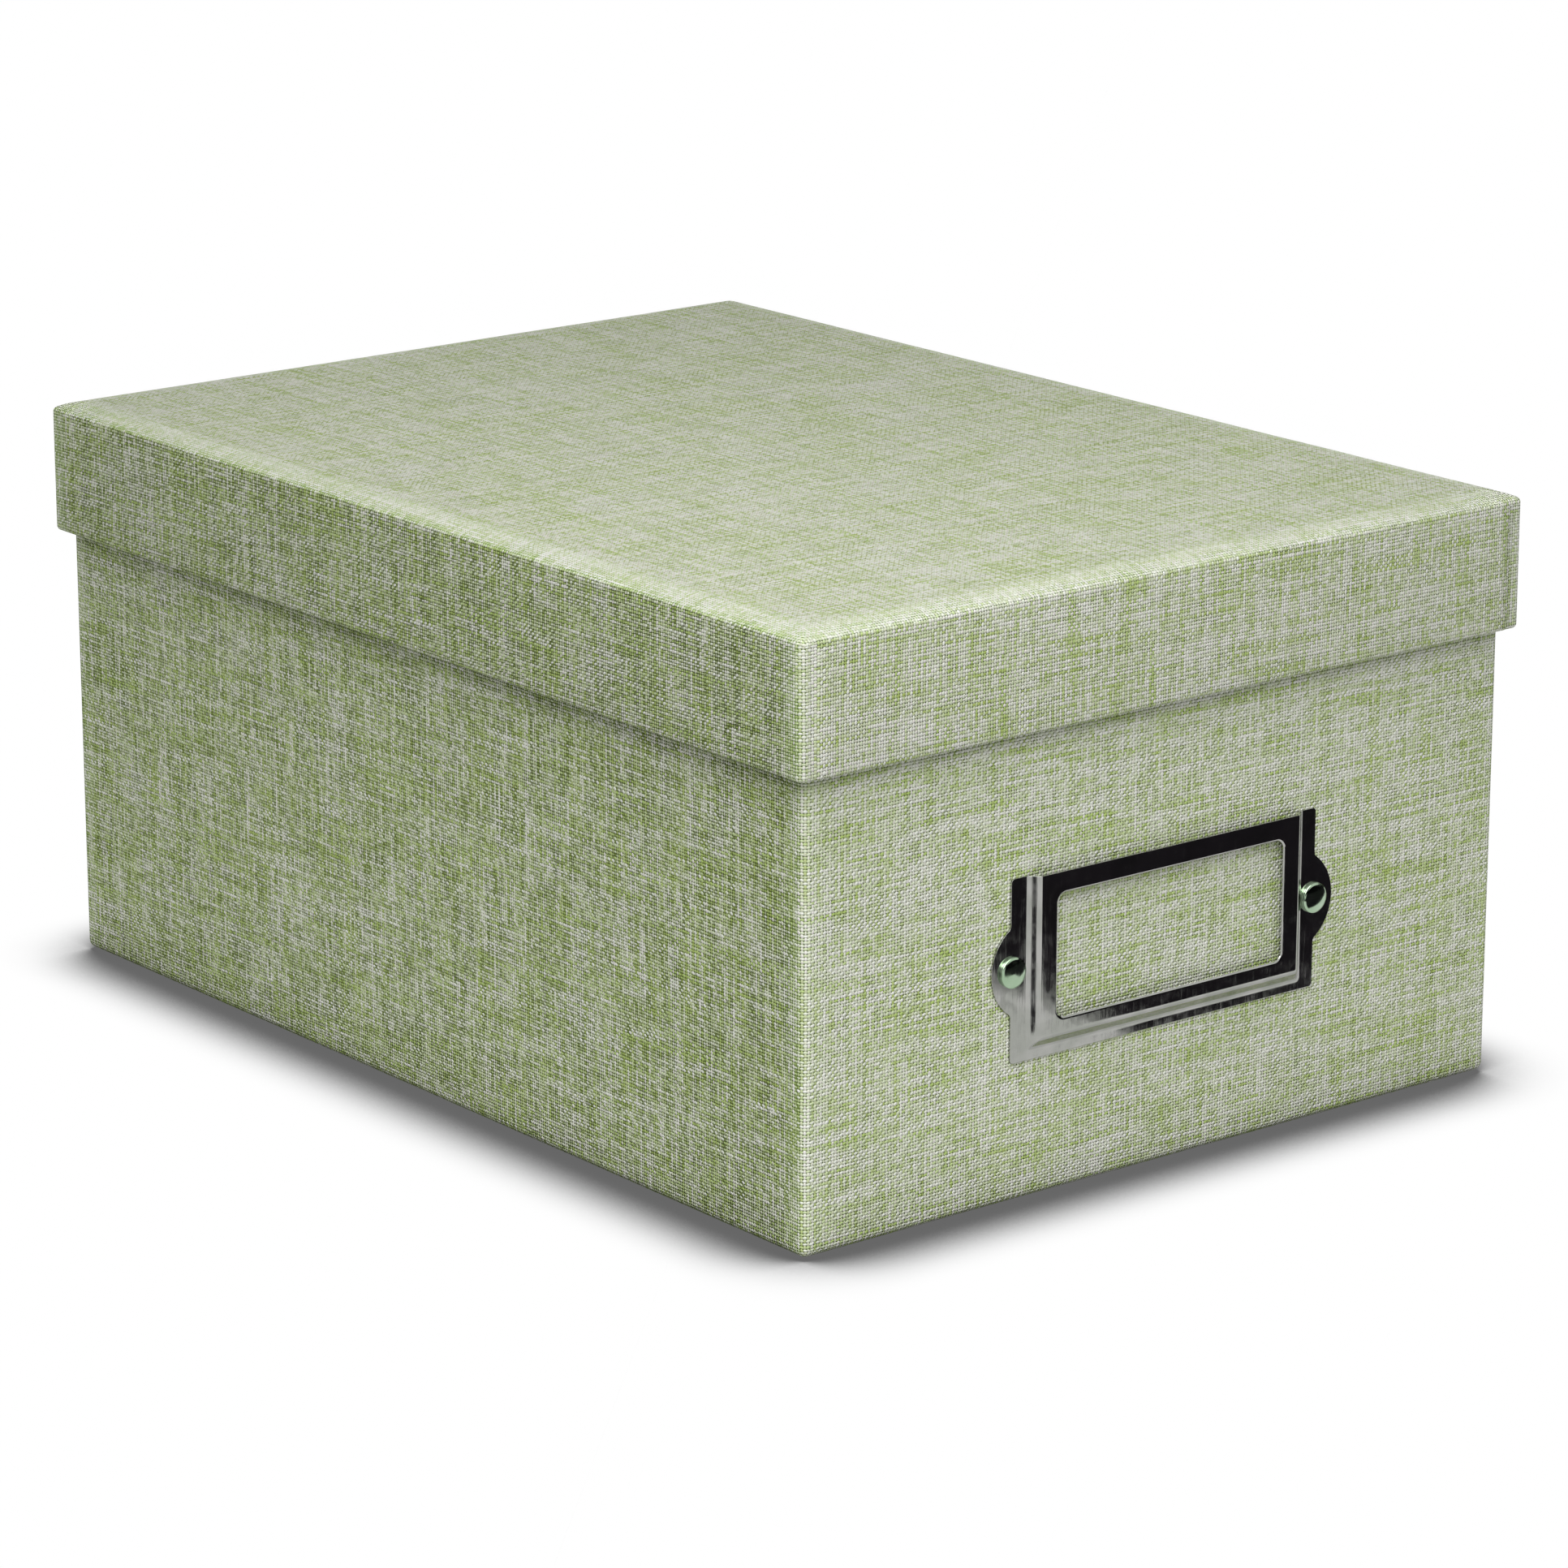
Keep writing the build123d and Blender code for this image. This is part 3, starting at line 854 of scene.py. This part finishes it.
print("stage: label frame")
frameLow, frameHigh = nodeBox("label_frame")
rivetLow, rivetHigh = nodeBox("label_rivet_right")
plateLook = {
    "face": frameHigh[1],  # the wall that it lies on
    "centre": (frameLow[2] + frameHigh[2]) / 2,
    "width": 84.0,
    "height": round(frameHigh[2] - frameLow[2], 3),
    "raised": round(frameHigh[1] - frameLow[1], 3),
    "rivetOffset": (rivetLow[0] + rivetHigh[0]) / 2,
    "sheet": 0.5,
    "corner": 0.8,
    "earCentre": 36.3,
    "earRadius": 10.8,
    "earFillet": 1.5,
    "window": (62.4, 26.4),
    "windowRise": 1.8,
    "windowCorner": 2.0,
    "sideFlat": 35.2,
    "sideRun": 3.2,
    "bottomFlat": 14.3,
    "bottomRun": 3.7,
    "hole": 1.25,
    "lip": 0.55,  # the window's edge rolls back towards the cloth
    "lipDrop": 0.32,
    "lipShares": (0.0, 0.12, 0.27, 0.45, 0.65, 0.85, 1.0, 1.25),
    "shoulderSteps": 28,
    "shoulderEnd": 0.06,  # the shoulder's first and last lines lie on the flats
    "shoulderCorner": (0.35, 0.75),  # radius inside, and how much more it is outside
    "edgeRound": 0.09,
}


def shoulder(run, rise, place):
    # height left at a place across the S-curve, from rise down to nothing
    share = place / run
    return rise * (1.0 - share * share * (3.0 - 2.0 * share))


def framePath(look, share, cornerSteps, upSteps, acrossSteps):
    # one level line of the shoulder: down the left, along the bottom and up the right
    rise = look["raised"] - look["sheet"]
    side = look["sideFlat"] + look["sideRun"] * share
    low = look["bottomFlat"] + look["bottomRun"] * share
    inside = min(max(share, 0.0), 1.0)
    sideHeight = look["sheet"] + shoulder(look["sideRun"], rise, look["sideRun"] * inside)
    lowHeight = look["sheet"] + shoulder(look["bottomRun"], rise, look["bottomRun"] * inside)
    tight, wider = look["shoulderCorner"]
    radius = tight + wider * inside
    top = look["height"] / 2
    path = [(-side, z, sideHeight) for z in np.linspace(top, -low + radius, upSteps + 1)]
    for step in range(1, cornerSteps):
        turn = step / cornerSteps * math.pi / 2
        x = -side + radius - radius * math.cos(turn)
        z = -low + radius - radius * math.sin(turn)
        path.append((x, z, sideHeight + (lowHeight - sideHeight) * step / cornerSteps))
    path += [(x, -low, lowHeight) for x in np.linspace(-side + radius, side - radius, acrossSteps + 1)]
    mirrored = [(-x, z, h) for x, z, h in path[: upSteps + cornerSteps]]
    return path + mirrored[::-1]


def roundedLoop(width, height, radius, rise, level, steps):
    points = []
    corners = ((1, -1, -90), (1, 1, 0), (-1, 1, 90), (-1, -1, 180))
    for signX, signZ, start in corners:
        centreX = signX * (width / 2 - radius)
        centreZ = signZ * (height / 2 - radius) + rise
        for step in range(steps + 1):
            turn = math.radians(start + 90 * step / steps)
            points.append((centreX + radius * math.cos(turn), centreZ + radius * math.sin(turn), level))
    return points


def plateOutline(look):
    # left half from the top, down past the ear to the bottom, then mirrored
    side = -look["width"] / 2
    end = look["height"] / 2
    corner = look["corner"]
    fillet = look["earFillet"]
    step = -side - look["earCentre"]
    filletUp = math.sqrt((look["earRadius"] + fillet) ** 2 - (step + fillet) ** 2)
    meet = math.degrees(math.atan2(filletUp, step + fillet))
    half = arc(side + corner, end - corner, corner, 90, 0, 5)
    half += arc(side - fillet, filletUp, fillet, 180, 180 + meet, 6)
    half += arc(-look["earCentre"], 0.0, look["earRadius"], meet, -meet, 32)[1:-1]
    half += arc(side - fillet, -filletUp, fillet, 180 - meet, 180, 6)
    half += arc(side + corner, corner - end, corner, 0, -90, 5)
    return half + [(-x, z) for x, z in half[::-1]]


def buildPlate(look):
    plate = bmesh.new()
    facing = Vector((0, -1, 0))

    def corner(point):
        x, z, level = point
        return plate.verts.new(Vector((x, look["face"] - level, look["centre"] + z)) * millimetre)

    def strip(first, second, closed):
        count = len(first)
        for n in range(count if closed else count - 1):
            m = (n + 1) % count
            plate.faces.new((first[n], second[n], second[m], first[m]))

    def edges(line, closed):
        pairs = zip(line, line[1:] + line[:1]) if closed else zip(line, line[1:])
        return [plate.edges.get(pair) or plate.edges.new(pair) for pair in pairs]

    def fill(bounds):
        # closes the flat between loops of edges
        filled = bmesh.ops.triangle_fill(
            plate, use_beauty=True, use_dissolve=False, edges=bounds, normal=facing
        )
        for face in filled["geom"]:
            if isinstance(face, bmesh.types.BMFace):
                face.normal_update()
                if face.normal.dot(facing) < 0:
                    face.normal_flip()

    # rolled lip round the window, from its edge outwards
    lipRows = []
    for share in look["lipShares"]:
        out = look["lip"] * share
        level = look["raised"] - look["lipDrop"] * (1 - min(share, 1.0)) ** 2
        width, height = (size + 2 * out for size in look["window"])
        loop = roundedLoop(width, height, look["windowCorner"] + out, look["windowRise"], level, 10)
        lipRows.append([corner(point) for point in loop])
    for first, second in zip(lipRows, lipRows[1:]):
        strip(first, second, True)
    # shoulder, from the flat round the window down to the flange
    shares = [-look["shoulderEnd"]]
    shares += list(np.linspace(0.0, 1.0, look["shoulderSteps"] + 1))
    shares += [1.0 + look["shoulderEnd"]]
    shoulderRows = [[corner(point) for point in framePath(look, share, 6, 10, 16)] for share in shares]
    for first, second in zip(shoulderRows, shoulderRows[1:]):
        strip(first, second, False)
    # the flat round the window, and the flange with its ears and its two holes
    outline = [corner((x, z, look["sheet"])) for x, z in plateOutline(look)]
    holes = []
    for side in (-1, 1):
        ring = []
        for turn in np.linspace(0, 2 * math.pi, 25)[:-1]:
            x = side * look["rivetOffset"] + look["hole"] * math.cos(turn)
            ring.append(corner((x, look["hole"] * math.sin(turn), look["sheet"])))
        holes.append(ring)
    fill(edges(shoulderRows[0], True) + edges(lipRows[-1], True))
    flange = edges(shoulderRows[-1] + outline[::-1], True)
    for ring in holes:
        flange += edges(ring, True)
    fill(flange)
    for face in plate.faces:
        face.normal_update()
    mesh = bpy.data.meshes.new("label_frame_plate")
    plate.to_mesh(mesh)
    plate.free()
    return mesh


platePiece = keep("label_frame_plate", buildPlate(plateLook), plateFinish)
sheetBody = platePiece.modifiers.new("sheet", "SOLIDIFY")
sheetBody.thickness = plateLook["sheet"] * millimetre
sheetBody.offset = -1.0
sheetBody.use_even_offset = False
roundEdge = platePiece.modifiers.new("edge", "BEVEL")
roundEdge.width = plateLook["edgeRound"] * millimetre
roundEdge.segments = 3
roundEdge.limit_method = "ANGLE"
roundEdge.angle_limit = math.radians(50)
roundEdge.harden_normals = True
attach(platePiece, "base")
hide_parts("label_frame")

print("stage: rivets")
rivetLook = {
    "stem": 1.2,
    "back": -2.7,  # heights are from the wall's face
    "seat": plateLook["sheet"],
    "radius": 3.3,
    "foot": 0.1,  # bevel under the cap
    "rim": 0.80,
    "dome": 0.62,
    "edge": 0.25,
    "grooveHeight": 0.35,
    "grooveWidth": 0.12,
    "grooveDepth": 0.15,
    "grooveEdge": 0.03,
    "grooveSlope": 0.01,
    "turnSteps": 72,
}
insideCapLook = {"face": -2.7, "radius": 3.0, "rim": 0.4, "dome": 0.4, "edge": 0.12, "turnSteps": 64}


def domePoints(radius, rim, dome, edge, steps):
    # from the rim's corner arc to the middle of the dome, as (distance out, height)
    arcShare = 0.93  # the arc stops a little short of level, where the dome takes over
    sunk = edge * 0.9
    sphere = (radius ** 2 + dome ** 2) / (2 * dome)
    points = []
    for k in range(6):
        turn = math.radians(90 * k / 5) * arcShare
        points.append((radius - edge + edge * math.cos(turn), rim - sunk + edge * math.sin(turn)))
    for x in np.linspace((radius - sunk) * 0.97, 0.0, steps):
        points.append((x, rim + dome - (sphere - math.sqrt(sphere ** 2 - x ** 2))))
    return points


def rivetProfile(look):
    outer = look["radius"]
    inner = outer - look["grooveDepth"]
    low = look["seat"] + look["grooveHeight"]
    high = low + look["grooveWidth"]
    edge, slope = look["grooveEdge"], look["grooveSlope"]
    points = [(0.0, look["back"]), (look["stem"], look["back"]), (look["stem"], look["seat"])]
    points += [(outer - look["foot"], look["seat"]), (outer, look["seat"] + look["foot"])]
    points += [(outer, low - edge), (outer - edge, low), (inner, low + slope)]
    points += [(inner, high - slope), (outer - edge, high)]
    return points + domePoints(outer, look["seat"] + look["rim"], look["dome"], look["edge"], 16)


def insideCapProfile(look):
    outer = domePoints(look["radius"], look["rim"], look["dome"], look["edge"], 12)
    outer = [(look["radius"], 0.0)] + outer
    points = [(x, look["face"] - height) for x, height in outer[::-1]]
    return points + [(0.0, look["face"])]


def turnedTree():
    # a profile turned into a round piece, and set down twice in a level row
    tree = bpy.data.node_groups.new("turned_pair", "GeometryNodeTree")
    inputs = {
        "Profile": "Geometry",
        "Steps Round": "Int",
        "Spacing": "Float",
        "Wall Face": "Float",
        "Row Height": "Float",
        "Finish": "Material",
    }
    for name, kind in inputs.items():
        tree.interface.new_socket(name, in_out="INPUT", socket_type="NodeSocket" + kind)
    tree.interface.new_socket("Pieces", in_out="OUTPUT", socket_type="NodeSocketGeometry")

    def add(kind, settings, sockets):
        made = tree.nodes.new(kind)
        for name, value in settings.items():
            setattr(made, name, value)
        for name, value in sockets.items():
            if isinstance(value, bpy.types.NodeSocket):
                tree.links.new(value, made.inputs[name])
            else:
                made.inputs[name].default_value = value
        return made.outputs

    def maths(operation, first, second):
        return add("ShaderNodeMath", {"operation": operation}, {0: first, 1: second})[0]

    given = tree.nodes.new("NodeGroupInput").outputs
    profile = {"Geometry": given["Profile"]}
    count = add("GeometryNodeAttributeDomainSize", {"component": "MESH"}, profile)["Point Count"]
    across = maths("ADD", given["Steps Round"], 1.0)
    grid = add("GeometryNodeMeshGrid", {}, {"Vertices X": across, "Vertices Y": count})["Mesh"]
    index = add("GeometryNodeInputIndex", {}, {})[0]  # a grid's points are numbered column by column
    row = maths("MODULO", index, count)
    column = maths("FLOOR", maths("DIVIDE", maths("ADD", index, 0.5), count), 0.0)
    place = add("GeometryNodeInputPosition", {}, {})[0]
    settings = {"data_type": "FLOAT_VECTOR", "domain": "POINT"}
    sampled = add("GeometryNodeSampleIndex", settings, {**profile, "Value": place, "Index": row})[0]
    parts = add("ShaderNodeSeparateXYZ", {}, {0: sampled})
    turn = maths("MULTIPLY", maths("DIVIDE", column, given["Steps Round"]), 2 * math.pi)
    x = maths("MULTIPLY", parts["X"], maths("COSINE", turn, 0.0))
    z = maths("MULTIPLY", parts["X"], maths("SINE", turn, 0.0))
    y = maths("MULTIPLY", parts["Y"], -1.0)
    turned = add("ShaderNodeCombineXYZ", {}, {0: x, 1: y, 2: z})[0]
    moved = add("GeometryNodeSetPosition", {}, {"Geometry": grid, "Position": turned})[0]
    closed = add("GeometryNodeMergeByDistance", {}, {"Geometry": moved, "Distance": 1e-7})[0]
    firstAcross = maths("MULTIPLY", given["Spacing"], -0.5)
    first = {0: firstAcross, 1: given["Wall Face"], 2: given["Row Height"]}
    start = add("ShaderNodeCombineXYZ", {}, first)[0]
    offset = add("ShaderNodeCombineXYZ", {}, {0: given["Spacing"], 1: 0.0, 2: 0.0})[0]
    pair = {"Count": 2, "Start Location": start, "Offset": offset}
    line = add("GeometryNodeMeshLine", {"mode": "OFFSET"}, pair)[0]
    placed = add("GeometryNodeInstanceOnPoints", {}, {"Points": line, "Instance": closed})[0]
    real = add("GeometryNodeRealizeInstances", {}, {"Geometry": placed})[0]
    finished = add("GeometryNodeSetMaterial", {}, {"Geometry": real, "Material": given["Finish"]})[0]
    out = tree.nodes.new("NodeGroupOutput")
    tree.links.new(finished, out.inputs["Pieces"])
    return tree


turnedPair = turnedTree()


def turnPair(name, profile, steps, finish):
    mesh = bpy.data.meshes.new(name + "_profile")
    points = [(x * millimetre, h * millimetre, 0.0) for x, h in profile]
    mesh.from_pydata(points, [(n, n + 1) for n in range(len(points) - 1)], [])
    holder = bpy.data.objects.new(name + "_profile", mesh)
    scene.collection.objects.link(holder)
    modifier = holder.modifiers.new("turned", "NODES")
    modifier.node_group = turnedPair
    sizes = {
        "Steps Round": steps,
        "Spacing": 2 * plateLook["rivetOffset"] * millimetre,
        "Wall Face": plateLook["face"] * millimetre,
        "Row Height": plateLook["centre"] * millimetre,
        "Finish": finish,
    }
    for item in turnedPair.interface.items_tree:
        if item.name in sizes:
            modifier[item.identifier] = sizes[item.name]
    bpy.context.view_layer.update()
    made = bpy.data.meshes.new_from_object(holder.evaluated_get(bpy.context.evaluated_depsgraph_get()))
    bpy.data.objects.remove(holder)
    piece = keep(name, made, finish)
    made.set_sharp_from_angle(angle=math.radians(38))
    return piece


rivetOutline = rivetProfile(rivetLook)
rivetPair = turnPair("label_rivets", rivetOutline, rivetLook["turnSteps"], rivetFinish)
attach(rivetPair, "base")
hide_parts("label_rivet_left", "label_rivet_right")
capOutline = insideCapProfile(insideCapLook)
capPair = turnPair("inside_rivet_caps", capOutline, insideCapLook["turnSteps"], rivetFinish)
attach(capPair, "base")
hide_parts("inside_rivet_cap_left", "inside_rivet_cap_right")

print("stage: studio")
studioLook = {
    "floorSize": 12.0,
    "floorLevel": -0.0003,
    "floorColour": (0.05, 0.05, 0.05),
    "floorGlow": 1.0,
    "glossyLeast": 0.8,  # metal sees the floor at least this bright
    "contactReach": 0.025,  # the box shades the floor this near to it, from open to closed in
    "contactOpen": (0.54, 1.0),
    "contactDark": 0.135,
    "worldFill": 0.035,
}


def makeFloorFinish(look):
    finish = Finish(bpy.data.materials.new("studio_floor"))
    rays = finish.node("LightPath", {}, {})
    camera, glossy, transmission, bounced = rays[0], rays[3], rays[6], rays[10]
    # the floor glows for the eye, for metal and glass, and for light that has bounced off the box
    seen = (camera + glossy + transmission + bounced).clip()
    near = finish.node("AmbientOcclusion", {"samples": 24}, {"Distance": look["contactReach"]})[1]
    contact = near.between(*look["contactOpen"], look["contactDark"], 1.0)
    shade = contact.maths("MAXIMUM", glossy * look["glossyLeast"])
    grey = finish.vector(shade, shade, shade)
    lit = finish.node("BsdfDiffuse", {}, {"Color": (*look["floorColour"], 1.0)})[0]
    glow = finish.node("Emission", {}, {"Color": grey, "Strength": look["floorGlow"]})[0]
    both = finish.node("MixShader", {}, {0: seen, 1: lit, 2: glow})[0]
    finish.node("OutputMaterial", {}, {"Surface": both})
    return finish.holder


def flatPiece(name, points, finish):
    mesh = bpy.data.meshes.new(name)
    mesh.from_pydata(points, [], [list(range(len(points)))])
    made = keep(name, mesh, finish)
    return made


half = studioLook["floorSize"] / 2
floorCorners = ((-half, -half), (half, -half), (half, half), (-half, half))
floorPoints = [(x, y, studioLook["floorLevel"]) for x, y in floorCorners]
flatPiece("studio_floor", floorPoints, makeFloorFinish(studioLook))

# black cards that only the metal sees, which give it its dark and pale parts
cardBlack = Finish(bpy.data.materials.new("black_card")).surface({
    "Base Color": (0.0045, 0.003, 0.0055, 1.0),
    "Roughness": 0.9,
    "Specular IOR Level": 0.1,
})
cardPoints = {
    "floor_card": [(0.052, -0.195, 0.0), (0.052, -0.268, 0.0), (-0.03, -0.268, 0.0), (-0.2, -2.4, 0.0),
                   (2.6, -2.4, 0.0), (2.6, -0.195, 0.0)],
    "near_card": [(-0.105, -0.203, 0.0), (-0.16, -0.19, 0.0), (-2.2, -1.2, 0.0), (-1.82, -1.89, 0.0)],
    "far_card": [(-0.5, -2.4, 0.0), (2.6, -2.4, 0.0), (2.6, -2.4, 1.1), (-0.5, -2.4, 1.1)],
    "side_card": [(2.6, -2.4, 0.0), (2.6, 0.4, 0.0), (2.6, 0.4, 1.1), (2.6, -2.4, 1.1)],
}
for name, points in cardPoints.items():
    card = flatPiece(name, points, cardBlack)
    card.visible_camera = False
    card.visible_diffuse = False
    card.visible_shadow = False
    card.visible_transmission = False

sky = Finish(bpy.data.worlds.new("studio"))
rays = sky.node("LightPath", {}, {})
seen = (rays[0] + rays[3] + rays[6]).clip()  # camera, glossy and transmission rays
plain = (1.0, 1.0, 1.0, 1.0)
fill = sky.node("Background", {}, {"Color": plain, "Strength": studioLook["worldFill"]})[0]
white = sky.node("Background", {}, {"Color": plain, "Strength": 1.0})[0]
both = sky.node("MixShader", {}, {0: seen, 1: fill, 2: white})[0]
sky.node("OutputWorld", {}, {"Surface": both})
scene.world = sky.holder

lampLook = {
    "key": {
        "aim": (-0.09, -0.12, 0.05),
        "way": (-0.47, -0.60, 0.65),
        "away": 0.9,
        "size": 0.5,
        "spread": 50.0,
        "power": 0.77,
    },
    "top": {
        "aim": (0.0, 0.0, 0.06),
        "way": (-0.25, -0.30, 0.92),
        "away": 1.0,
        "size": 0.7,
        "spread": 180.0,
        "power": 9.25,
    },
}
for name, look in lampLook.items():
    lamp = bpy.data.lights.new(name, "AREA")
    lamp.energy = look["power"]
    lamp.size = look["size"]
    lamp.spread = math.radians(look["spread"])
    way = Vector(look["way"]).normalized()
    stand = bpy.data.objects.new(name, lamp)
    stand.location = Vector(look["aim"]) + way * look["away"]
    stand.rotation_euler = way.to_track_quat("Z", "Y").to_euler()
    scene.collection.objects.link(stand)

print("stage: camera")
cameraLook = {"place": (-0.78967, -0.99876, 0.41552), "yaw": 0.67272, "pitch": 0.27788, "lens": 136.12}
camera = bpy.data.cameras.new("camera")
camera.lens = cameraLook["lens"]
camera.sensor_width = 36.0
camera.clip_start = 0.05
camera.clip_end = 50.0
viewer = bpy.data.objects.new("camera", camera)
viewer.location = cameraLook["place"]
viewer.rotation_euler = (math.pi / 2 - cameraLook["pitch"], 0.0, -cameraLook["yaw"])
scene.collection.objects.link(viewer)
scene.camera = viewer
scene.view_settings.view_transform = "Standard"
